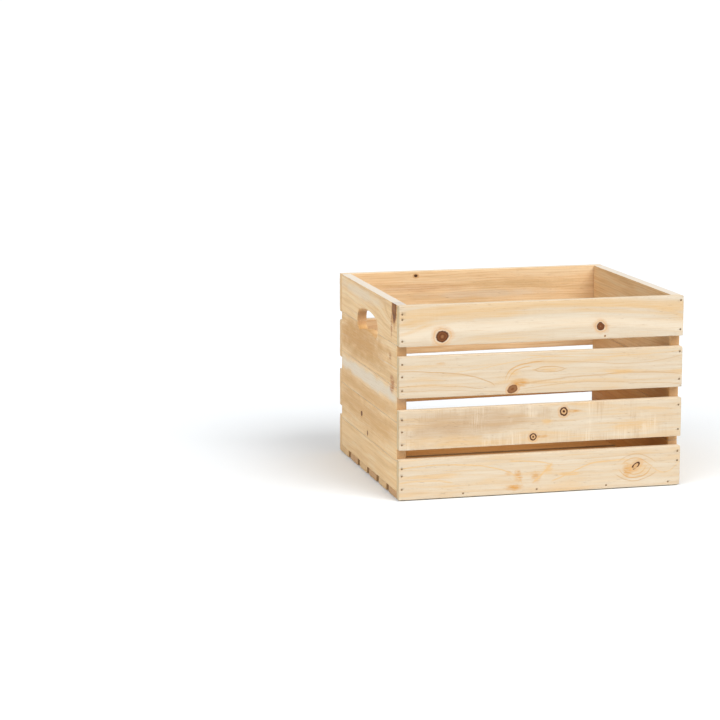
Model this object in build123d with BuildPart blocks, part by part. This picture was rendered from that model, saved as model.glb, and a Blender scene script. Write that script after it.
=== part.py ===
from build123d import *
import os

# A slatted wooden apple crate, nailed together from sawn softwood boards.
# Millimetres. X runs along the crate, Y from the front to the back, Z up.
# The origin is on the ground under the middle of the crate.

# Overall size
LENGTH = 366.0
DEPTH = 305.0
HEIGHT = 240.0

# Board thicknesses
SIDE_BOARD = 11.0
END_BOARD = 13.0
FLOOR_BOARD = 9.0
EASED_EDGE = 0.6

# Inside faces, measured from the middle of the crate
INNER_X = LENGTH / 2 - END_BOARD
INNER_Y = DEPTH / 2 - SIDE_BOARD

# Side slats from the top row to the bottom row: the slat's name, its height, how high its lower
# edge is at the left end and at the right end, and how far above that edge the nails are at the
# left end and at the right end. Hand nailing leaves some rows a little out of level.
FRONT_ROWS = [
    ("top", 50.4, 189.6, 189.6, (40.0, 33.5, 7.0), (44.5, 8.0)),
    ("upper", 51.2, 126.2, 124.8, (42.0, 26.5, 9.5), (45.0, 10.0)),
    ("lower", 49.2, 61.9, 62.1, (38.0, 23.0, 7.0), (40.0, 9.0)),
    ("bottom", 50.0, 0.0, 0.0, (39.0, 30.0, 13.5), (43.0, 31.0)),
]
BACK_ROWS = [
    ("top", 50.8, 189.2, 189.2, (43.0, 29.0, 8.0), (42.0, 28.0, 9.0)),
    ("upper", 50.0, 128.0, 130.2, (44.0, 27.0, 7.5), (44.0, 26.0, 7.5)),
    ("lower", 49.4, 62.4, 65.0, (41.0, 24.0, 9.0), (40.0, 24.5, 9.0)),
    ("bottom", 50.2, 0.0, 0.0, (40.0, 29.0, 13.0), (41.0, 28.0, 13.0)),
]

# Heights of the boards that are edge-glued into each end panel, from the top down
LEFT_BOARDS = [50.0, 52.0, 43.0, 48.0, 38.0]
RIGHT_BOARDS = [46.0, 45.0, 50.0, 44.0, 46.0]

# Floor slats, laid lengthways under the end panels and between the bottom side slats
FLOOR_SLATS = 6
FLOOR_SLAT_WIDTH = 39.0
FLOOR_PITCH = (2 * INNER_Y - FLOOR_SLAT_WIDTH) / (FLOOR_SLATS - 1)

# Hand hole: a slot of even width, bent upwards along an arc
HOLE_LENGTH = 104.0
HOLE_WIDTH = 26.0
HOLE_BEND = 170.0
HOLE_TOP = 28.0
HOLE_SHIFT = 4.0
HOLE_EASE = 1.5

# Brad nails: the head sits a little below the wood
NAIL_LENGTH = 30.0
NAIL_RADIUS = 0.8
NAIL_HEAD_RADIUS = 1.2
NAIL_HEAD = 0.8
NAIL_POINT = 2.4
NAIL_SUNK = 0.6
NAIL_INSET = 4.0
FLOOR_NAIL_INSET = 7.5

# Places along the crate where the bottom side slats are nailed into the floor's edge
EDGE_NAILS = [-101.0, -6.0, 85.0, 167.0]

FRONT = Vector(0, -1, 0)
BACK = Vector(0, 1, 0)
DOWN = Vector(0, 0, -1)

os.makedirs("parts", exist_ok=True)


def finish(piece, name):
    """Labels a piece and writes it to its own file."""
    piece.label = name
    export_step(piece, f"parts/{name}.step")


def nail_outline(above):
    """Half of a nail's section, and above its head a plain stretch of the given height."""
    Polyline(
        (0, above),
        (NAIL_HEAD_RADIUS, above),
        (NAIL_HEAD_RADIUS, -NAIL_HEAD),
        (NAIL_RADIUS, -NAIL_HEAD),
        (NAIL_RADIUS, NAIL_POINT - NAIL_LENGTH),
        (0, -NAIL_LENGTH),
        close=True,
    )


with BuildPart() as nail:
    with BuildSketch(Plane.XZ):
        with BuildLine():
            nail_outline(0)
        make_face()
    revolve(axis=Axis.Z)

# What a driven nail takes out of the wood: its own shape and the dimple over its head
with BuildPart() as nail_bore:
    with BuildSketch(Plane.XZ):
        with BuildLine():
            nail_outline(2 * NAIL_SUNK)
        make_face()
    revolve(axis=Axis.Z)


def driven(x, y, z, outward):
    """The place of a nail whose head is sunk below a face at this point, facing outward."""
    face = Plane(origin=(x, y, z), z_dir=outward)
    return face.offset(-NAIL_SUNK).location


def end_nails(row, outward):
    """Nail places of one side slat, at its left end and then at its right end."""
    _, _, left_low, right_low, left_nails, right_nails = row
    y = DEPTH / 2 * outward.Y
    x = LENGTH / 2 - NAIL_INSET
    places = [driven(-x, y, left_low + up, outward) for up in left_nails]
    places += [driven(x, y, right_low + up, outward) for up in right_nails]
    return places


def edge_nails(outward):
    """Nails through the bottom side slat into the edge of the floor slat beside it."""
    y = DEPTH / 2 * outward.Y
    return [driven(x, y, FLOOR_BOARD / 2, outward) for x in EDGE_NAILS]


def nail_group(places, name):
    """One node with all the nails of one board."""
    with BuildPart() as nails:
        with Locations(*places):
            add(nail.part)
    finish(nails.part, name)


def side_slat(row, inner_face, places, name):
    """A board along one long side, cut square at the ends and eased along its edges."""
    height, left_low, right_low = row[1:4]
    half = LENGTH / 2
    with BuildPart() as slat:
        with BuildSketch(Plane.XZ.offset(-inner_face)):
            with BuildLine():
                Polyline(
                    (-half, left_low),
                    (half, right_low),
                    (half, right_low + height),
                    (-half, left_low + height),
                    close=True,
                )
            make_face()
        extrude(amount=-SIDE_BOARD)
        fillet(slat.edges(), radius=EASED_EDGE)
        with Locations(*places):
            add(nail_bore.part, mode=Mode.SUBTRACT)
    finish(slat.part, name)


front_places = [end_nails(row, FRONT) for row in FRONT_ROWS]
back_places = [end_nails(row, BACK) for row in BACK_ROWS]
front_edge_places = edge_nails(FRONT)
back_edge_places = edge_nails(BACK)

for row, places in zip(FRONT_ROWS, front_places):
    edge_places = front_edge_places if row[0] == "bottom" else []
    side_slat(row, -DEPTH / 2, places + edge_places, f"front_{row[0]}_slat")
    nail_group(places + edge_places, f"front_{row[0]}_slat_nails")

for row, places in zip(BACK_ROWS, back_places):
    edge_places = back_edge_places if row[0] == "bottom" else []
    side_slat(row, INNER_Y, places + edge_places, f"back_{row[0]}_slat")
    nail_group(places + edge_places, f"back_{row[0]}_slat_nails")


# Floor slats, numbered from the front, each with two nails up into each end panel
floor_places = []
for index in range(FLOOR_SLATS):
    middle = -INNER_Y + FLOOR_SLAT_WIDTH / 2 + index * FLOOR_PITCH
    x = LENGTH / 2 - FLOOR_NAIL_INSET
    reach = FLOOR_SLAT_WIDTH / 4
    floor_places.append(
        [driven(end * x, middle + side * reach, 0, DOWN) for end in (-1, 1) for side in (-1, 1)]
    )

for index, places in enumerate(floor_places):
    middle = -INNER_Y + FLOOR_SLAT_WIDTH / 2 + index * FLOOR_PITCH
    with BuildPart() as floor_slat:
        with BuildSketch():
            with Locations((0, middle)):
                Rectangle(LENGTH, FLOOR_SLAT_WIDTH)
        extrude(amount=FLOOR_BOARD)
        fillet(floor_slat.edges(), radius=EASED_EDGE)
        with Locations(*places):
            add(nail_bore.part, mode=Mode.SUBTRACT)
        if index == 0:
            with Locations(*front_edge_places):
                add(nail_bore.part, mode=Mode.SUBTRACT)
        if index == FLOOR_SLATS - 1:
            with Locations(*back_edge_places):
                add(nail_bore.part, mode=Mode.SUBTRACT)
    finish(floor_slat.part, f"floor_slat_{index + 1}")
    nail_group(places, f"floor_slat_{index + 1}_nails")


def hand_hole_outline():
    """The bent slot of the hand hole, drawn in the plane of an end panel."""
    bend_centre = HEIGHT - HOLE_TOP - HOLE_WIDTH / 2 - HOLE_BEND
    half_span = (HOLE_LENGTH - HOLE_WIDTH) / 2
    end_height = bend_centre + (HOLE_BEND**2 - half_span**2) ** 0.5
    with BuildLine(mode=Mode.PRIVATE) as spine:
        ThreePointArc(
            (HOLE_SHIFT - half_span, end_height),
            (HOLE_SHIFT, bend_centre + HOLE_BEND),
            (HOLE_SHIFT + half_span, end_height),
        )
    SlotArc(spine.edge(), HOLE_WIDTH, mode=Mode.SUBTRACT)


def end_panel(side, heights, x_low, x_nails):
    """An end panel, glued up from boards and then routed and nailed, as its separate boards."""
    with BuildPart() as panel:
        with BuildSketch(Plane.YZ.offset(x_low)):
            with Locations((0, (FLOOR_BOARD + HEIGHT) / 2)):
                Rectangle(2 * INNER_Y, HEIGHT - FLOOR_BOARD)
            hand_hole_outline()
        extrude(amount=END_BOARD)
        rim = panel.edges().filter_by(Axis.Y).group_by(Axis.Z)[-1]
        fillet(rim, radius=EASED_EDGE)
        mouths = panel.edges().filter_by(GeomType.CIRCLE)
        fillet(mouths, radius=HOLE_EASE)
        for places in front_places + back_places + floor_places:
            with Locations(*[p for p in places if abs(p.position.X - x_nails) < END_BOARD]):
                add(nail_bore.part, mode=Mode.SUBTRACT)
    top = HEIGHT
    for index, height in enumerate(heights):
        with BuildPart() as board:
            add(panel.part)
            split(bisect_by=Plane.XY.offset(top), keep=Keep.BOTTOM)
            split(bisect_by=Plane.XY.offset(top - height), keep=Keep.TOP)
        finish(board.part, f"{side}_end_board_{index + 1}")
        top -= height


end_panel("left", LEFT_BOARDS, -LENGTH / 2, -LENGTH / 2)
end_panel("right", RIGHT_BOARDS, INNER_X, LENGTH / 2)
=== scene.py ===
"""The looks of a slatted softwood crate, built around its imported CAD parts.

Every board is the CAD board cut into fine faces and worn a little, and its wood is worked out
from a growing tree: rings around a pith, bent around the knots. Board measures are millimetres
from the middle of the board: along the grain, across the face and through the thickness.
"""
import math
from dataclasses import dataclass

import bmesh
import bpy
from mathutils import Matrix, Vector, noise


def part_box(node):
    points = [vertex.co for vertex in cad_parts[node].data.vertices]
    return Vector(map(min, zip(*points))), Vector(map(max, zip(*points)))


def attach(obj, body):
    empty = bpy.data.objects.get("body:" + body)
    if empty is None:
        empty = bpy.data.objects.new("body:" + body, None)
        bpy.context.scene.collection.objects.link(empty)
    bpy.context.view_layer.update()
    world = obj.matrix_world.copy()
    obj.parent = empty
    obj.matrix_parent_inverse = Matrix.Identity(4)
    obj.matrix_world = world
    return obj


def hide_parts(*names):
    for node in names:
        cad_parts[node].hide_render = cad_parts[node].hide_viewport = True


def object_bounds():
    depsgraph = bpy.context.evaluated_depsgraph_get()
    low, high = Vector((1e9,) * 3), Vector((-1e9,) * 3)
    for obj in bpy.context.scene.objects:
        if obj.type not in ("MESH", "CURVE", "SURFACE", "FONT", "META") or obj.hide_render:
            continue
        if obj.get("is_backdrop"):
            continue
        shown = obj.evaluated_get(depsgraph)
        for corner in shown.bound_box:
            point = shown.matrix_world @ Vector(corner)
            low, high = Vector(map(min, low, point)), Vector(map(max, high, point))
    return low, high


MM = 0.001

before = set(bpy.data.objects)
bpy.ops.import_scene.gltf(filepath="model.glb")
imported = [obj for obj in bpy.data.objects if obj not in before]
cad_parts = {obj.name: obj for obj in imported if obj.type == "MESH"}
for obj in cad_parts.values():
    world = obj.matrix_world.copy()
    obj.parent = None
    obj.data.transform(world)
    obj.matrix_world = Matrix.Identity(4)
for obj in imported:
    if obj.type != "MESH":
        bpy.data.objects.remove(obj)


def crate_box():
    """The lowest and highest corner of everything shown, in metres, as plain lists."""
    return [list(corner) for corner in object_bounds()]


sizes = {"start": crate_box()}

# ---------------------------------------------------------------- boards


@dataclass
class Knot:
    """A branch cut through by the board.

    aspect is its length over its width, and tilt turns its length away from the grain, in degrees.
    """

    along: float
    across: float
    radius: float
    kind: str = "solid"
    aspect: float = 1.0
    tilt: float = 0.0


@dataclass
class Patch:
    """A soft patch of another tone, with its half sizes along and across."""

    along: float
    across: float
    reach: tuple
    tone: str = "orange"
    strength: float = 0.6


@dataclass
class Vein:
    """One grain line that stands out, through points given as along and across."""

    points: tuple
    width: float = 0.9
    strength: float = 0.8
    tone: str = "orange"


@dataclass
class Timber:
    """How a board was cut from its tree, and what shows on it.

    pith is the tree's middle: how far across, and how deep under the board's low face. ring is
    the width of a year's ring. Each crest (along, reach, height) is a bend that brings the rings
    up to the face and draws arches. Each band (across, half width, strength) runs along the
    grain, orange above zero and pale below it. sweep is how far the grain sags towards both ends.
    """

    pith: tuple = (-30.0, 40.0)
    ring: float = 4.5
    crests: tuple = ()
    contrast: float = 0.5
    tones: str = "cream"
    bands: tuple = ()
    knots: tuple = ()
    patches: tuple = ()
    veins: tuple = ()
    streaks: float = 0.35
    sweep: float = 0.0
    saw_marks: float = 0.1


FRONT_SLATS = {
    "front_top_slat": Timber(
        pith=(-60, 20),
        ring=11,
        contrast=0.2,
        bands=((21, 8, 0.6), (10, 3, 0.3), (-3, 9, -0.6)),
        knots=(
            Knot(-128.7, -14.1, 7.2),
            Knot(74, -9.1, 5.0),
            Knot(80, -21.5, 0.9, "pin"),
        ),
        patches=(
            Patch(-164, 4, (30, 8), "orange", 0.5),
            Patch(74, -9, (15, 1.8), "rust", 0.5),
            Patch(161, 10, (24, 7), "orange", 0.5),
        ),
        veins=(
            Vein(
                ((-183, 1), (-157, 6), (-119, 14), (-57, 17), (43, 18), (131, 14), (183, -2)), 3, 0.35
            ),
            Vein(((-183, -11), (-164, -6), (-147, 0), (-124, 4), (-89, 6)), 2.5, 0.35),
        ),
        streaks=0.25,
        sweep=9,
    ),
    "front_upper_slat": Timber(
        pith=(-70, 30),
        ring=8,
        contrast=0.2,
        knots=(Knot(-39, -19.1, 4.6, "grey", 1.35, 25),),
        patches=(
            Patch(-29, -12, (11, 6), "amber", 1.0),
            Patch(-38, 2, (8, 4), "orange", 1.0),
            Patch(9, 3.6, (20, 3.4), "orange", 0.8),
            Patch(99, -3, (22, 3.5), "orange", 1.3),
            Patch(-130, 16, (6, 2), "amber", 0.6),
        ),
        veins=(
            Vein(
                ((-183, 8), (-143, 6), (-111, 3), (-81, -4), (-64, -11), (-61, -18)), 0.8, 0.8, "late"
            ),
            Vein(
                ((-111, 4), (-81, 8), (-61, 11), (-41, 15), (-6, 19), (44, 21), (112, 19)), 0.7, 0.5
            ),
            Vein(((-49, -12), (-45, 1), (-36, 8), (-21, 12), (-1, 14)), 1.1, 0.7, "amber"),
            Vein(((-11, 14), (44, 12), (119, 7), (180, 15)), 0.8, 0.4, "late"),
            Vein(((-45, -9), (-39, 1), (-28, 6), (-16, 8)), 0.8, 0.7, "amber"),
            Vein(((-11, 3.5), (-3, 6), (10, 7), (22, 6), (29, 4)), 0.6, 0.8, "late"),
            Vein(((-11, 3.5), (-3, 1.5), (10, 0.7), (22, 1.7), (29, 4)), 0.6, 0.8, "late"),
            Vein(((-28, -14), (9, -9), (69, -6), (99, -4), (144, -5), (180, -8)), 1.0, 0.55, "late"),
            Vein(((-31, -20), (44, -14), (119, -17), (180, -21)), 0.7, 0.45, "late"),
            Vein(((-183, -11), (-118, -12), (-76, -17)), 0.6, 0.6, "late"),
            Vein(((-183, -17), (-108, -18), (-48, -22)), 0.6, 0.5, "late"),
            Vein(((-18, 22), (62, 17), (183, 21)), 0.7, 0.5),
        ),
        streaks=0.12,
    ),
    "front_lower_slat": Timber(
        pith=(-30, 40),
        ring=6,
        contrast=0.25,
        knots=(Knot(28, 14.4, 5.0, "ringed"), Knot(-11.5, -15.6, 4.5, "ringed")),
        patches=(
            Patch(-87, 8, (110, 16), "grey", 0.7),
            Patch(-117, -6, (70, 12), "grey", 0.5),
            Patch(-127, -14, (60, 6), "orange", 0.5),
            Patch(7, 3, (9, 4), "orange", 0.9),
            Patch(41, 14.4, (14, 2.2), "amber", 1.0),
            Patch(0, -15.6, (9, 1.8), "amber", 0.8),
            Patch(123, -8, (34, 9), "orange", 0.7),
            Patch(-57, -20, (120, 4), "orange", 0.5),
        ),
        streaks=0.35,
        saw_marks=1.0,
    ),
    "front_bottom_slat": Timber(
        pith=(60, 34),
        ring=8,
        contrast=0.2,
        knots=(Knot(124.1, 2.5, 2.5, "crescent", 1.9, 40),),
        patches=(
            Patch(-35.4, -17, (12, 4), "amber", 1.2),
            Patch(-7.4, -6, (7, 8), "amber", 0.8),
            Patch(-30.4, -2, (6, 7), "amber", 0.9),
            Patch(-42.4, 2, (5, 3), "amber", 0.7),
            Patch(9, 5, (7, 6), "orange", 1.0),
            Patch(36.6, -3, (20, 3), "orange", 1.1),
            Patch(113, -3, (7, 9), "amber", 1.1),
            Patch(126, 0, (16, 11), "orange", 0.7),
            Patch(-142.4, 3, (40, 3), "orange", 0.7),
        ),
        veins=(
            Vein(
                (
                    (-183, 14),
                    (-142.4, 17),
                    (-97.4, 15),
                    (-60.4, 9),
                    (-40.4, 2),
                    (-30.4, -5),
                    (-25.4, -12),
                ),
                0.9,
            ),
            Vein(((-40.4, 17), (-10.4, 15), (12.6, 10.5)), 0.9),
            Vein(((-9.4, -10), (2.6, 0), (12.6, 10)), 1.8, 1.0),
            Vein(((14.6, -11), (34.6, -3), (54.6, 5), (69.6, 9), (112.6, 11)), 1.0),
            Vein(((-183, -4), (-147.4, -2), (-115.4, -6)), 1.4, 0.6),
            Vein(((138.6, 6), (162.6, -7), (183, 6)), 0.8, 0.6),
            Vein(((103, -3), (111, -10), (124, -12.5), (137, -9), (144, -1)), 0.8, 0.8, "amber"),
            Vein(((98, -8), (110, -14.5), (124, -17), (139, -13), (150, -7)), 0.8, 0.7, "late"),
            Vein(((108, -2), (115, -6.5), (124, -8), (133, -5), (138, 1)), 0.7, 0.7, "amber"),
            Vein(((106, 5), (113, 10), (123, 12), (133, 9.5), (139, 5)), 0.8, 0.6, "amber"),
            Vein(((101, 9), (112, 15), (125, 17), (139, 13), (150, 6)), 0.8, 0.5, "late"),
        ),
        streaks=0.3,
    ),
}

BACK_SLATS = {
    "back_top_slat": Timber(
        pith=(-46, 22),
        ring=3.4,
        crests=((60, 150, 9),),
        contrast=0.4,
        tones="honey",
        knots=(Knot(-81, 19.4, 1.8, "pin", 1.4),),
        patches=(
            Patch(-70, 3, (70, 6), "rust", 0.3),
            Patch(70, 4, (90, 7), "orange", 0.6),
            Patch(20, -8, (100, 6), "pale", 0.5),
        ),
    ),
    "back_upper_slat": Timber(
        pith=(6, 14),
        ring=5,
        crests=((-70, 60, 8), (150, 120, 9)),
        tones="honey",
        knots=(Knot(62, 8, 5.2, "ringed"),),
    ),
    "back_lower_slat": Timber(
        pith=(30, 34),
        ring=5,
        crests=((40, 90, 14),),
        tones="honey",
        knots=(Knot(-118, -6, 6.5), Knot(128, 12, 3.4, "ringed")),
        saw_marks=0.5,
    ),
    "back_bottom_slat": Timber(
        pith=(-8, 16),
        ring=4.5,
        crests=((95, 60, 10), (-190, 90, 9)),
        tones="honey",
        knots=(Knot(-20, -10, 4.6, "crescent", 1.2),),
    ),
}

LEFT_BOARDS = {
    "left_end_board_1": Timber(
        pith=(-45, 60),
        ring=4,
        contrast=0.4,
        tones="straw",
        knots=(Knot(-128.5, 21, 22, "spike", 0.45),),
        patches=(Patch(40, 14, (120, 8), "pale", 0.7), Patch(-117, -4, (4, 16), "rust", 0.9)),
    ),
    "left_end_board_2": Timber(
        pith=(50, 36),
        ring=3.2,
        contrast=0.35,
        tones="straw",
        bands=((-16, 7, 0.6), (-3, 1, -0.6)),
        patches=(
            Patch(40, 4, (150, 26), "amber", 0.85),
            Patch(-111, 8, (7, 5), "rust", 0.9),
            Patch(-121, -20, (11, 8), "rust", 1.0),
        ),
    ),
    "left_end_board_3": Timber(
        pith=(-60, 50),
        ring=4.5,
        contrast=0.3,
        tones="straw",
        patches=(
            Patch(0, -12, (230, 12), "amber", 0.5),
            Patch(0, 9, (220, 10), "pale", 1.2),
            Patch(-121, 18, (11, 8), "rust", 1.0),
        ),
    ),
    "left_end_board_4": Timber(
        pith=(28, 40),
        ring=3.6,
        contrast=0.3,
        tones="straw",
        knots=(Knot(32.5, 2, 3.2, "solid", 1.3), Knot(1.5, -18, 3.0, "grey", 0.7)),
        patches=(Patch(10, 6, (200, 22), "amber", 0.5),),
    ),
    "left_end_board_5": Timber(pith=(-34, 55), ring=4, contrast=0.3, tones="straw"),
}

RIGHT_BOARDS = {
    "right_end_board_1": Timber(pith=(-70, 30), ring=3, contrast=0.4, tones="straw"),
    "right_end_board_2": Timber(
        pith=(30, 44), ring=4, tones="straw", knots=(Knot(60, -4, 5.5, "ringed"),)
    ),
    "right_end_board_3": Timber(pith=(2, 15), ring=5, crests=((-30, 60, 9),), tones="straw"),
    "right_end_board_4": Timber(
        pith=(-42, 50), ring=3.6, tones="straw", knots=(Knot(-74, 6, 6.0),)
    ),
    "right_end_board_5": Timber(pith=(20, 40), ring=4.4, contrast=0.5, tones="straw"),
}

FLOOR_SLATS = {
    "floor_slat_1": Timber(pith=(-20, 30), ring=4, tones="straw"),
    "floor_slat_2": Timber(
        pith=(9, 12), ring=4.5, crests=((30, 80, 8),), tones="honey", knots=(Knot(44, -7, 4.5),)
    ),
    "floor_slat_3": Timber(pith=(-35, 22), ring=3.4, tones="straw"),
    "floor_slat_4": Timber(
        pith=(25, 26), ring=5, tones="honey", knots=(Knot(-96, 5, 5.2, "ringed"),)
    ),
    "floor_slat_5": Timber(pith=(-6, 13), ring=4, crests=((80, 70, 7),), tones="straw"),
    "floor_slat_6": Timber(pith=(34, 30), ring=3.8, tones="honey"),
}

# Which axes of the crate run along, across and through each kind of board, and which narrow-side tone
# and painted inside shade it takes
SIDE_AXES = (0, 2, 1)
END_AXES = (1, 2, 0)
FLOOR_AXES = (0, 1, 2)
BOARD_KINDS = (
    (FRONT_SLATS, SIDE_AXES, "side_slats"),
    (BACK_SLATS, SIDE_AXES, "side_slats"),
    (LEFT_BOARDS, END_AXES, "end_boards"),
    (RIGHT_BOARDS, END_AXES, "end_boards"),
    (FLOOR_SLATS, FLOOR_AXES, "floor_slats"),
)


# How near to an end of a board its corners are looked for
END_REACH = 5.0

# The inside faces of the crate, and the top of its floor
INNER_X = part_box("right_end_board_1")[0].x / MM
INNER_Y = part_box("back_top_slat")[0].y / MM
FLOOR_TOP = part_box("floor_slat_1")[1].z / MM


class Board:
    """A CAD board's own frame: its middle, half sizes and the slope of a slat nailed off level."""

    def __init__(self, name, axes):
        self.name = name
        self.axes = axes
        low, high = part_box(name)
        self.middle = [(low[a] + high[a]) / 2 / MM for a in axes]
        self.half = [(high[a] - low[a]) / 2 / MM for a in axes]
        along, across, _ = axes
        corners = [v.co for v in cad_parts[name].data.vertices]
        start = min(c[across] for c in corners if c[along] < low[along] + END_REACH * MM)
        end = min(c[across] for c in corners if c[along] > high[along] - END_REACH * MM)
        self.slope = (end - start) / (high[along] - low[along])
        # A slat off level is narrower than its box
        self.half[1] -= abs(end - start) / 2 / MM

    def place(self, point):
        """A point of the crate in the board's frame, in millimetres."""
        along, across, through = (point[a] / MM - m for a, m in zip(self.axes, self.middle))
        return Vector((along, across - self.slope * along, through))


# ---------------------------------------------------------------- colours


def tone(red, green, blue):
    """A colour as a screen shows it, from 0 to 255, as the light it reflects."""

    def light(value):
        value /= 255
        return value / 12.92 if value <= 0.04045 else ((value + 0.055) / 1.055) ** 2.4

    return (light(red), light(green), light(blue), 1.0)


# For each kind of wood: early wood, late wood, end grain and the palest sapwood
WOODS = {
    "cream": (tone(206, 189, 164), tone(190, 152, 108), tone(206, 184, 140), tone(212, 199, 178)),
    "honey": (tone(242, 208, 162), tone(214, 164, 110), tone(208, 172, 122), tone(244, 220, 182)),
    "straw": (tone(235, 200, 150), tone(206, 158, 102), tone(180, 134, 92), tone(238, 214, 174)),
}
TINTS = {
    "orange": tone(212, 175, 124),
    "rust": tone(176, 112, 64),
    "grey": tone(182, 152, 118),
    "pale": tone(226, 211, 188),
    "amber": tone(198, 146, 80),
}
# The narrow sides of each kind of board. The floor slats' dark sides are painted shade in the narrow
# gaps between them.
EDGES = {
    "side_slats": tone(230, 212, 184),
    "end_boards": tone(232, 226, 216),
    # painted shade: the floor slats' sides stand deep in the gaps between them
    "floor_slats": tone(140, 98, 58),
}
# Painted shade inside the crate: the wood there is multiplied by this colour, darker further below
# the top. It starts at a height and is full this far below it, and each kind of board has its own
# height and strength.
INSIDE_SHADE = (0.55, 0.32, 0.08, 1.0)
SHADE_DEPTH = 105.0
SHADES = {"side_slats": (135, 1.0), "end_boards": (185, 0.8), "floor_slats": (185, 0.8)}
# How far across a board a grain line can wander in all
VEIN_SPAN = 60.0
# How deep the relief of the grain and of the rust is, and how large a spot of rust is
GRAIN_RELIEF = 0.25
RUST_RELIEF = 0.05
RUST_SPOT = 0.6
KNOT_DARK = tone(74, 38, 14)
KNOT_CORE = tone(116, 66, 30)
KNOT_GREY = tone(136, 92, 56)
BARK = tone(142, 86, 32)
KNOT_PALE = tone(200, 156, 106)
HALO = tone(206, 154, 96)
STEEL = tone(146, 122, 92)
RUST = tone(138, 98, 66)

# How each kind of knot is coloured: rings (from, to, colour, strength), in knot radii
KNOT_LOOKS = {
    "solid": (
        (0.0, 2.0, HALO, 0.25),
        (1.3, 1.55, HALO, 0.5),
        (0.0, 1.0, KNOT_CORE, 1.0),
        (0.82, 1.02, KNOT_DARK, 0.9),
        (0.42, 0.55, KNOT_DARK, 0.6),
        (0.0, 0.2, KNOT_PALE, 0.2),
    ),
    "ringed": (
        (0.0, 1.6, HALO, 0.4),
        (0.0, 0.95, KNOT_PALE, 0.8),
        (0.7, 1.06, KNOT_DARK, 1.0),
        (0.0, 0.36, KNOT_DARK, 1.0),
    ),
    "grey": (
        (0.0, 1.6, HALO, 0.5),
        (0.0, 1.0, KNOT_GREY, 1.0),
        (0.85, 1.05, KNOT_CORE, 0.7),
        (0.0, 0.3, KNOT_CORE, 0.8),
    ),
    "crescent": (
        (0.0, 2.4, HALO, 0.35),
        (0.0, 0.95, KNOT_PALE, 0.9),
    ),
    "pin": ((0.0, 1.8, HALO, 0.6), (0.0, 1.0, KNOT_DARK, 0.95)),
    "spike": ((0.0, 1.3, HALO, 0.7), (0.0, 1.0, BARK, 0.95), (0.4, 0.8, KNOT_DARK, 0.5)),
}

# ---------------------------------------------------------------- material fields


class Field:
    """A number that varies over a surface: one socket in a material's node tree."""

    def __init__(self, tree, socket):
        self.tree = tree
        self.socket = socket

    def math(self, operation, *others):
        node = self.tree.nodes.new("ShaderNodeMath")
        node.operation = operation
        for entry, value in zip(node.inputs, (self, *others)):
            plug(self.tree, value, entry)
        return Field(self.tree, node.outputs[0])

    def __add__(self, other):
        return self.math("ADD", other)

    def __sub__(self, other):
        return self.math("SUBTRACT", other)

    def __mul__(self, other):
        return self.math("MULTIPLY", other)

    def __truediv__(self, other):
        return self.math("DIVIDE", other)

    def size(self):
        """The number without its sign."""
        return self.math("ABSOLUTE")

    def ramp(self, low, high):
        """From 0 at low to 1 at high, smoothly. Low may be above high."""
        node = self.tree.nodes.new("ShaderNodeMapRange")
        node.interpolation_type = "SMOOTHSTEP"
        for entry, value in zip(node.inputs, (self, low, high)):
            plug(self.tree, value, entry)
        return Field(self.tree, node.outputs[0])


def plug(tree, value, entry):
    """Links a field to a socket, or sets a plain value on it."""
    if isinstance(value, Field):
        tree.links.new(value.socket, entry)
    else:
        entry.default_value = value


def layered(tree, colour, mask, over, blend="MIX"):
    """A colour with another laid over it where the mask is 1."""
    node = tree.nodes.new("ShaderNodeMix")
    node.data_type = "RGBA"
    node.blend_type = blend
    for entry, value in zip((node.inputs[0], node.inputs[6], node.inputs[7]), (mask, colour, over)):
        plug(tree, value, entry)
    return Field(tree, node.outputs[2])


def joined(tree, *parts):
    """A vector made from its three parts."""
    node = tree.nodes.new("ShaderNodeCombineXYZ")
    for entry, part in zip(node.inputs, parts):
        plug(tree, part, entry)
    return Field(tree, node.outputs[0])


def parts_of(tree, socket):
    """The three parts of a vector."""
    node = tree.nodes.new("ShaderNodeSeparateXYZ")
    tree.links.new(socket, node.inputs[0])
    return [Field(tree, part) for part in node.outputs]


def object_place(tree):
    """The point being shaded, in metres along the crate's axes."""
    source = tree.nodes.new("ShaderNodeTexCoord")
    return Field(tree, source.outputs["Object"])


def speckle(place, lengths, seed, detail=2.0):
    """Smooth random numbers around 0.5, with features of these lengths in the place's unit."""
    tree = place.tree
    mapping = tree.nodes.new("ShaderNodeMapping")
    mapping.inputs["Location"].default_value = (seed, seed * 1.7, seed * 2.3)
    mapping.inputs["Scale"].default_value = [1 / length for length in lengths]
    tree.links.new(place.socket, mapping.inputs["Vector"])
    texture = tree.nodes.new("ShaderNodeTexNoise")
    texture.inputs["Scale"].default_value = 1.0
    texture.inputs["Detail"].default_value = detail
    tree.links.new(mapping.outputs[0], texture.inputs["Vector"])
    return Field(tree, texture.outputs["Fac"])


def distance(*parts):
    """The length of a vector with these parts."""
    total = parts[0] * parts[0]
    for part in parts[1:]:
        total = total + part * part
    return total.math("SQRT")


def edge_distance(board, parts):
    """How far the nearest edge of the board is: the middle one of the distances to its faces."""
    a, b, c = (part.size() * -1.0 + half for part, half in zip(parts, board.half))
    return a.math("MINIMUM", b).math("MAXIMUM", a.math("MAXIMUM", b).math("MINIMUM", c))


def facing(tree, axis):
    """1 where the surface faces along this axis of the crate, either way."""
    geometry = tree.nodes.new("ShaderNodeNewGeometry")
    return parts_of(tree, geometry.outputs["True Normal"])[axis].size().ramp(0.6, 0.9)


def painted_inside_shade(tree, top, most):
    """How much painted shade darkens the inside of the crate: more and more below the top."""
    x, y, z = (part / MM for part in parts_of(tree, object_place(tree).socket))
    inside = x.size().ramp(INNER_X + 1.4, INNER_X + 0.5)
    inside = inside * y.size().ramp(INNER_Y + 1.4, INNER_Y + 0.5)
    return inside * z.ramp(FLOOR_TOP - 0.8, FLOOR_TOP - 0.2) * z.ramp(top, top - SHADE_DEPTH) * most


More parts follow.
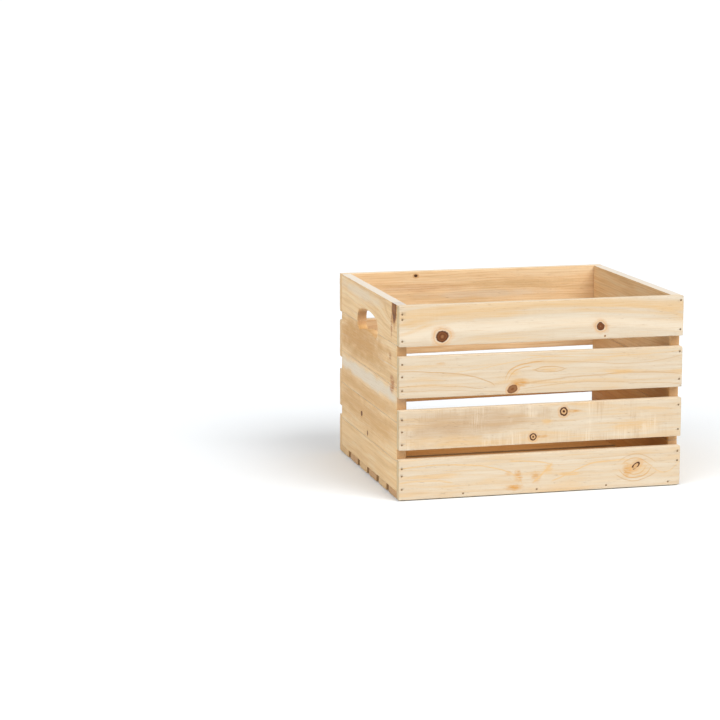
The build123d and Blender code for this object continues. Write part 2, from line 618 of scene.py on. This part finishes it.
def roughened(tree, surface, height, depth):
    """Gives a shader relief of this depth, in metres, without moving its faces."""
    bump = tree.nodes.new("ShaderNodeBump")
    bump.inputs["Distance"].default_value = depth
    plug(tree, height, bump.inputs["Height"])
    tree.links.new(bump.outputs[0], surface.inputs["Normal"])


def shader(name):
    """A new material with its node tree and its main shader."""
    material = bpy.data.materials.new(name)
    material.use_nodes = True
    tree = material.node_tree
    return material, tree, tree.nodes["Principled BSDF"]


# ---------------------------------------------------------------- wood


class Figure:
    """The figure of one board: what grew where in it, and the colour that is painted from that, with
    painted shade inside the crate.
    """

    def __init__(self, tree, board, timber, seed):
        self.tree = tree
        self.board = board
        self.timber = timber
        self.seed = seed
        self.early, self.late, self.cut, self.sapwood = WOODS[timber.tones]

        parts = parts_of(tree, object_place(tree).socket)
        along, across, self.through = (
            parts[axis] / MM - middle for axis, middle in zip(board.axes, board.middle)
        )
        self.along = along
        self.across = across - along * board.slope
        self.place = joined(tree, self.along, self.across, self.through)
        self.lean = along / board.half[0]
        self.ragged = self.chance((3, 3, 3), 3) - 0.5
        self.blotch = self.chance((26, 12, 12), 19, 3.0) - 0.5
        self.fibre = self.chance((45, 0.7, 0.7), 11, 3.0)
        self.canal = self.chance((9, 0.45, 0.45), 13).ramp(0.68, 0.76)

        self.knots = []
        self.grain = self.bent_grain()
        self.drift = joined(tree, self.along, self.grain, self.through)
        self.latewood = self.growth_rings()
        self.sawn = self.saw_strokes()
        self.colour = self.early

    def chance(self, lengths, offset, detail=2.0):
        """Random numbers over the board. Each use has an offset of its own."""
        return speckle(self.place, lengths, self.seed + offset, detail)

    def bent_grain(self):
        """How far across the tree each point grew. Also notes how far each knot is.

        The grain bends around a knot as water does around a pile.
        """
        wander = self.chance((160, 30, 30), 0) - 0.5
        lumpy = self.chance((16, 9, 9), 4) - 0.5
        grain = self.across + wander * 9.0 + self.lean * self.lean * self.timber.sweep
        for knot in self.timber.knots:
            dx = self.along - knot.along
            dy = self.across - knot.across
            spread = distance(dx / 2.4, dy) / knot.radius
            push = (spread * spread + 0.15).math("POWER", -1.0)
            grain = grain - dy * push.math("MINIMUM", 1.6)
            cosine, sine = math.cos(math.radians(knot.tilt)), math.sin(math.radians(knot.tilt))
            dx, dy = (dx * cosine + dy * sine) / knot.aspect, dy * cosine - dx * sine
            away = distance(dx, dy) / knot.radius
            away = away + self.ragged * 0.35 + lumpy * 0.5 + away.ramp(1.0, 3.0) * lumpy * 2.0
            self.knots.append((knot, away, dx, dy))
        return grain

    def growth_rings(self):
        """How much of a ring's dark late wood is at each point. Some rings are stronger."""
        depth = self.through + (self.board.half[2] + self.timber.pith[1])
        for at, reach, height in self.timber.crests:
            away = (self.along - at) / reach
            depth = depth - (away * away * -1.0).math("EXPONENT") * height
        radius = distance(self.grain - self.timber.pith[0], depth)
        ring = radius / self.timber.ring + self.chance((300, 45, 45), 7) * 2.0
        phase = ring.math("FRACT")
        lottery = self.tree.nodes.new("ShaderNodeTexWhiteNoise")
        lottery.noise_dimensions = "1D"
        plug(self.tree, ring.math("FLOOR") + self.seed, lottery.inputs["W"])
        vigour = Field(self.tree, lottery.outputs["Value"]) * 0.7 + 0.3
        return phase.ramp(0.5, 0.92) * phase.ramp(1.0, 0.95) * vigour

    def saw_strokes(self):
        """The relief that the saw left across the board, in places, and not at its high end."""
        teeth = self.chance((1.4, 26, 30), 23, 0.0) - 0.5
        strokes = self.chance((17, 80, 60), 29, 1.0) - 0.5
        where = self.chance((50, 18, 40), 37, 1.0).ramp(0.35, 0.65)
        return (teeth * 0.5 + strokes) * where * self.lean.ramp(1.0, 0.8)

    def paint(self, mask, over, blend="MIX"):
        """Lays another colour over the wood where the mask is 1."""
        self.colour = layered(self.tree, self.colour, mask, over, blend)

    def paint_growth(self):
        """Late wood, and broad and narrow drifts of other tones along the grain."""
        broad = speckle(self.drift, (110, 9, 9), self.seed + 17, 3.0)
        streak = speckle(self.drift, (60, 2.4, 2.4), self.seed + 21, 3.0)
        self.paint(broad.ramp(0.48, 0.7) * 0.55, TINTS["orange"])
        self.paint(broad.ramp(0.5, 0.34) * 0.6, self.sapwood)
        self.paint(streak.ramp(0.5, 0.7) * self.timber.streaks, TINTS["orange"])
        self.paint(self.latewood * self.timber.contrast, self.late)

    def paint_marks(self):
        """The bands, patches and grain lines that this board alone has."""
        for at, width, strength in self.timber.bands:
            band = (self.grain - at).size().ramp(width, width * 0.3)
            self.paint(band * abs(strength), TINTS["orange" if strength > 0 else "pale"])
        flow = speckle(self.drift, (13, 1.8, 1.8), self.seed + 41, 3.0).ramp(0.38, 0.6)
        for patch in self.timber.patches:
            self.paint(self.patch_mask(patch, flow), TINTS[patch.tone])
        for vein in self.timber.veins:
            self.paint(self.vein_mask(vein), self.late if vein.tone == "late" else TINTS[vein.tone])

    def patch_mask(self, patch, flow):
        """How strongly a patch shows. Its outline is uneven, and small ones are streaky."""
        length, width = patch.reach
        away = distance((self.along - patch.along) / length, (self.across - patch.across) / width)
        away = away + self.blotch * 1.2 + self.ragged * (0.1 + 5 / length)
        mask = away.ramp(1.25, 0.3) * patch.strength
        if patch.tone != "grey":
            streaky = min(0.6, 12 / length)
            mask = mask * (flow * streaky + (1 - streaky))
        return mask.math("MINIMUM", 1.0)

    def vein_mask(self, vein):
        """How strongly one grain line shows: it stops softly at both of its ends."""
        (start, start_across), (end, end_across) = vein.points[0], vein.points[-1]
        node = self.tree.nodes.new("ShaderNodeFloatCurve")
        plug(self.tree, (self.along - start) / (end - start), node.inputs["Value"])
        path = node.mapping.curves[0].points
        path[0].location = (0.0, start_across / VEIN_SPAN + 0.5)
        path[1].location = (1.0, end_across / VEIN_SPAN + 0.5)
        for along, across in vein.points[1:-1]:
            path.new((along - start) / (end - start), across / VEIN_SPAN + 0.5)
        node.mapping.update()
        line = (Field(self.tree, node.outputs[0]) - 0.5) * VEIN_SPAN
        away = (self.across + self.blotch * 3.0 - line).size()
        inside = self.along.ramp(start - 4, start + 4) * self.along.ramp(end + 4, end - 4)
        return away.ramp(vein.width * 1.3, vein.width * 0.3) * inside * vein.strength

    def paint_texture(self):
        """Fibres, resin canals and saw marks."""
        self.paint(self.fibre.ramp(0.5, 0.72) * 0.3, self.late)
        self.paint(self.fibre.ramp(0.5, 0.3) * 0.25, self.sapwood)
        self.paint(self.canal * 0.35, TINTS["rust"])
        self.paint(self.sawn.ramp(0.0, 0.3) * self.timber.saw_marks * 0.5, TINTS["grey"])
        self.paint(self.sawn.ramp(0.0, -0.35) * self.timber.saw_marks * 0.6, TINTS["pale"])

    def paint_knot(self, knot, away, along, across):
        """One knot. away is the distance from its middle in knot radii."""
        for start, stop, over, strength in KNOT_LOOKS[knot.kind]:
            soft = 0.04 + 0.06 * stop
            ring = away.ramp(stop + soft, stop - soft) * strength
            if start:
                ring = ring * away.ramp(start - soft, start + soft)
            self.paint(ring, over)
        if knot.kind == "crescent":
            gap = (along * 0.8 + across * 0.6) / knot.radius
            crack = away.ramp(0.65, 0.85) * away.ramp(1.4, 1.15)
            self.paint(crack * (gap + 0.9).size().ramp(0.1, 0.4), KNOT_DARK)

    def paint_faces(self, slot):
        """Cut ends, narrow sides, painted shade inside the crate, and edges a little grubby."""
        board = self.board
        end_colour = layered(self.tree, self.cut, self.latewood * 0.6, self.late)
        self.paint(facing(self.tree, board.axes[0]) * 0.7, end_colour)
        rim = self.across.size().ramp(board.half[1] - 2.0, board.half[1] - 0.8)
        # The narrow sides' tone; on the floor slats it is painted shade
        self.paint(facing(self.tree, board.axes[1]) * rim * 0.8, EDGES[slot])
        # Painted shade: the inside of the crate is darkened more and more below the top
        self.paint(painted_inside_shade(self.tree, *SHADES[slot]), INSIDE_SHADE, "MULTIPLY")
        edge = edge_distance(board, (self.along, self.across, self.through))
        grime = self.chance((14, 5, 5), 31, 3.0)
        self.paint(edge.ramp(1.6, 0.2) * grime.ramp(0.42, 0.7) * 0.2, KNOT_GREY)

    def relief(self):
        """The height of the surface, with a crack around each knot."""
        height = self.fibre * 0.5 + self.latewood * 0.35
        height = height + self.sawn * (0.3 + self.timber.saw_marks) + self.canal * -0.8
        for _, away, _, _ in self.knots:
            crack = away.ramp(0.85, 1.0) * away.ramp(1.15, 1.0)
            height = height + away.ramp(1.1, 0.9) * 0.5 + crack * -1.2
        return height


def softwood(board, timber, slot, seed):
    """The wood of one board of the kind that fills this slot."""
    material, tree, surface = shader(board.name + "_wood")
    figure = Figure(tree, board, timber, seed)
    figure.paint_growth()
    figure.paint_marks()
    figure.paint_texture()
    for knot, away, dx, dy in figure.knots:
        figure.paint_knot(knot, away, dx, dy)
    figure.paint_faces(slot)
    plug(tree, figure.colour, surface.inputs["Base Color"])
    surface.inputs["Specular IOR Level"].default_value = 0.25
    roughness = figure.fibre * 0.2 + figure.latewood * -0.12 + 0.52
    plug(tree, roughness, surface.inputs["Roughness"])
    roughened(tree, surface, figure.relief(), GRAIN_RELIEF * MM)
    return material


def nail_steel():
    """Dull dark steel with a little rust."""
    material, tree, surface = shader("nail_steel")
    spots = speckle(object_place(tree), [RUST_SPOT * MM] * 3, 5.0, 3.0)
    plug(tree, layered(tree, STEEL, spots.ramp(0.45, 0.65) * 0.7, RUST), surface.inputs["Base Color"])
    plug(tree, spots * 0.4 + 0.35, surface.inputs["Roughness"])
    surface.inputs["Metallic"].default_value = 0.4
    roughened(tree, surface, spots, RUST_RELIEF * MM)
    return material


def dress(node, material):
    """Gives an object one material in its own slots."""
    if not node.material_slots:
        node.data.materials.append(material)
    for entry in node.material_slots:
        entry.material = material


# ---------------------------------------------------------------- board meshes

# How large the faces are that a board is cut into: along, across and through it
FACE_SIZE = (5.0, 3.4, 3.7)
WELD = 0.001
FLAT = math.radians(0.3)
SHARP = math.radians(38)
# How deep the edges and corners are rubbed and how far in, and how uneven the flat faces are
RUBBED = 0.45
RUBBED_REACH = 2.2
CORNER_REACH = 7.0
UNEVEN = 0.14
# The lengths of the wear's unevenness at the edges and over the flat faces
ROUGH_LENGTHS = (9, 5, 5)
SLOW_LENGTHS = (38, 11, 11)
# The groove around a knot: its depth, and where it is and its half width in knot radii
GROOVE = 0.2
GROOVE_AT = 1.08
GROOVE_REACH = 0.2
SEED_STEP = 5.3


def cut_fine(mesh, board):
    """Cuts the board along planes about FACE_SIZE apart, so that its faces can be shaped."""
    for axis, middle, half, size in zip(board.axes, board.middle, board.half, FACE_SIZE):
        normal = Vector([float(a == axis) for a in range(3)])
        cuts = round(2 * half / size)
        for index in range(1, cuts):
            place = normal * (middle - half + 2 * half * index / cuts) * MM
            geometry = mesh.verts[:] + mesh.edges[:] + mesh.faces[:]
            bmesh.ops.bisect_plane(mesh, geom=geometry, dist=1e-8, plane_co=place, plane_no=normal)


def knot_distance(point, knot):
    """How far a point is from a knot's middle, in knot radii."""
    return math.hypot((point.x - knot.along) / knot.aspect, point.y - knot.across) / knot.radius


def refine_knots(mesh, board, timber):
    """Finer faces on the knots and just around them."""
    for knot in timber.knots:
        near = []
        for edge in mesh.edges:
            point = board.place((edge.verts[0].co + edge.verts[1].co) / 2)
            if knot_distance(point, knot) < 1.5 and abs(abs(point.z) - board.half[2]) < 0.1:
                near.append(edge)
        bmesh.ops.subdivide_edges(mesh, edges=near, cuts=2, use_grid_fill=True)


def rough(point, lengths):
    """Smooth random numbers from 0 to 1, with features of these lengths."""
    return noise.noise(Vector([part / length for part, length in zip(point, lengths)])) * 0.5 + 0.5


def wear_depth(board, timber, vertex, seed):
    """How far the wood is worn back at a vertex, in millimetres."""
    point = board.place(vertex.co)
    gaps = sorted(half - abs(part) for half, part in zip(board.half, point))
    shifted = point + Vector((seed * 31, seed * 17, seed * 7))
    rubbed = RUBBED * rough(shifted, ROUGH_LENGTHS)
    depth = rubbed * max(0.0, 1 - gaps[1] / RUBBED_REACH)
    depth += rubbed * max(0.0, 1 - gaps[2] / CORNER_REACH)
    if abs(vertex.normal[board.axes[1]]) < 0.9:
        depth += UNEVEN * rough(shifted, SLOW_LENGTHS)
        for knot in timber.knots:
            off = abs(knot_distance(point, knot) - GROOVE_AT)
            depth += GROOVE * max(0.0, 1 - off / GROOVE_REACH)
    return depth


def worn_board(board, timber, seed):
    """The CAD board with eased, uneven and rubbed faces. Wood is only taken away."""
    mesh = bmesh.new()
    mesh.from_mesh(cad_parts[board.name].data)
    bmesh.ops.remove_doubles(mesh, verts=mesh.verts, dist=WELD * MM)
    bmesh.ops.dissolve_limit(mesh, angle_limit=FLAT, verts=mesh.verts, edges=mesh.edges)
    cut_fine(mesh, board)
    refine_knots(mesh, board, timber)
    mesh.normal_update()
    moves = [(v, v.normal * wear_depth(board, timber, v, seed) * MM) for v in mesh.verts]
    for vertex, move in moves:
        vertex.co -= move
    for face in mesh.faces:
        face.smooth = True
    data = bpy.data.meshes.new(board.name + "_worn")
    mesh.to_mesh(data)
    mesh.free()
    data.set_sharp_from_angle(angle=SHARP)
    piece = bpy.data.objects.new(board.name + "_worn", data)
    bpy.context.scene.collection.objects.link(piece)
    return piece


seed = 0.0
for boards, axes, slot in BOARD_KINDS:
    for name, timber in boards.items():
        seed += SEED_STEP
        board = Board(name, axes)
        piece = worn_board(board, timber, seed)
        piece.data.materials.clear()
        piece.data.materials.append(softwood(board, timber, slot, seed))
        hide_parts(name)
        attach(piece, "root")

steel = nail_steel()
for name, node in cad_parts.items():
    if name.endswith("_nails"):
        dress(node, steel)

# ---------------------------------------------------------------- studio

FLOOR_REACH = 300.0
FLOOR_DROP = 1.2 * MM
FLOOR_WHITE = 0.92
FLOOR_TINTS = ((0.955, 0.98, 1.0), (0.945, 0.975, 1.0))
# Each lamp's bearing, height and width in degrees, and its strength
LAMPS = {"key": (30, 46, 40, 2.1), "fill": (-50, 42, 45, 1.25)}
SKY_STRENGTH = 0.45


def studio_floor():
    """A plain pale floor just under the crate, wide enough to reach the horizon."""
    mesh = bpy.data.meshes.new("studio_floor")
    low = sizes["start"][0][2] - FLOOR_DROP
    signs = ((-1, -1), (1, -1), (1, 1), (-1, 1))
    mesh.from_pydata([(x * FLOOR_REACH, y * FLOOR_REACH, low) for x, y in signs], [], [(0, 1, 2, 3)])
    floor = bpy.data.objects.new("studio_floor", mesh)
    bpy.context.scene.collection.objects.link(floor)
    material, tree, surface = shader("studio_floor")
    mottle = speckle(object_place(tree), (0.3, 0.3, 0.3), 2.0)
    white, off_white = ([FLOOR_WHITE * part for part in tint] + [1.0] for tint in FLOOR_TINTS)
    plug(tree, layered(tree, white, mottle, off_white), surface.inputs["Base Color"])
    surface.inputs["Roughness"].default_value = 0.9
    surface.inputs["Specular IOR Level"].default_value = 0.1
    mesh.materials.append(material)
    floor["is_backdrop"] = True


def far_light(name, azimuth, height, softness, strength):
    """A distant soft light: its bearing from straight ahead, height and width in degrees."""
    lamp = bpy.data.lights.new(name, "SUN")
    lamp.angle = math.radians(softness)
    lamp.energy = strength
    stand = bpy.data.objects.new(name, lamp)
    stand.rotation_euler = (math.radians(90 - height), 0, math.radians(azimuth))
    bpy.context.scene.collection.objects.link(stand)


studio_floor()
for name, lamp in LAMPS.items():
    far_light(name, *lamp)

world = bpy.data.worlds.new("studio")
world.use_nodes = True
sky = world.node_tree.nodes["Background"]
sky.inputs["Color"].default_value = (1, 1, 1, 1)
sky.inputs["Strength"].default_value = SKY_STRENGTH
bpy.context.scene.world = world
bpy.context.scene.view_settings.view_transform = "Standard"

CAMERA_PLACE = (-0.8957, -2.7975, 0.6566)
CAMERA_YAW = math.radians(14.096)
CAMERA_PITCH = math.radians(9.983)
CAMERA_LENS = 115.22

camera = bpy.data.objects.new("camera", bpy.data.cameras.new("camera"))
camera.data.lens = CAMERA_LENS
camera.location = CAMERA_PLACE
camera.rotation_euler = (math.pi / 2 - CAMERA_PITCH, 0, -CAMERA_YAW)
bpy.context.scene.collection.objects.link(camera)
bpy.context.scene.camera = camera

sizes["end"] = crate_box()
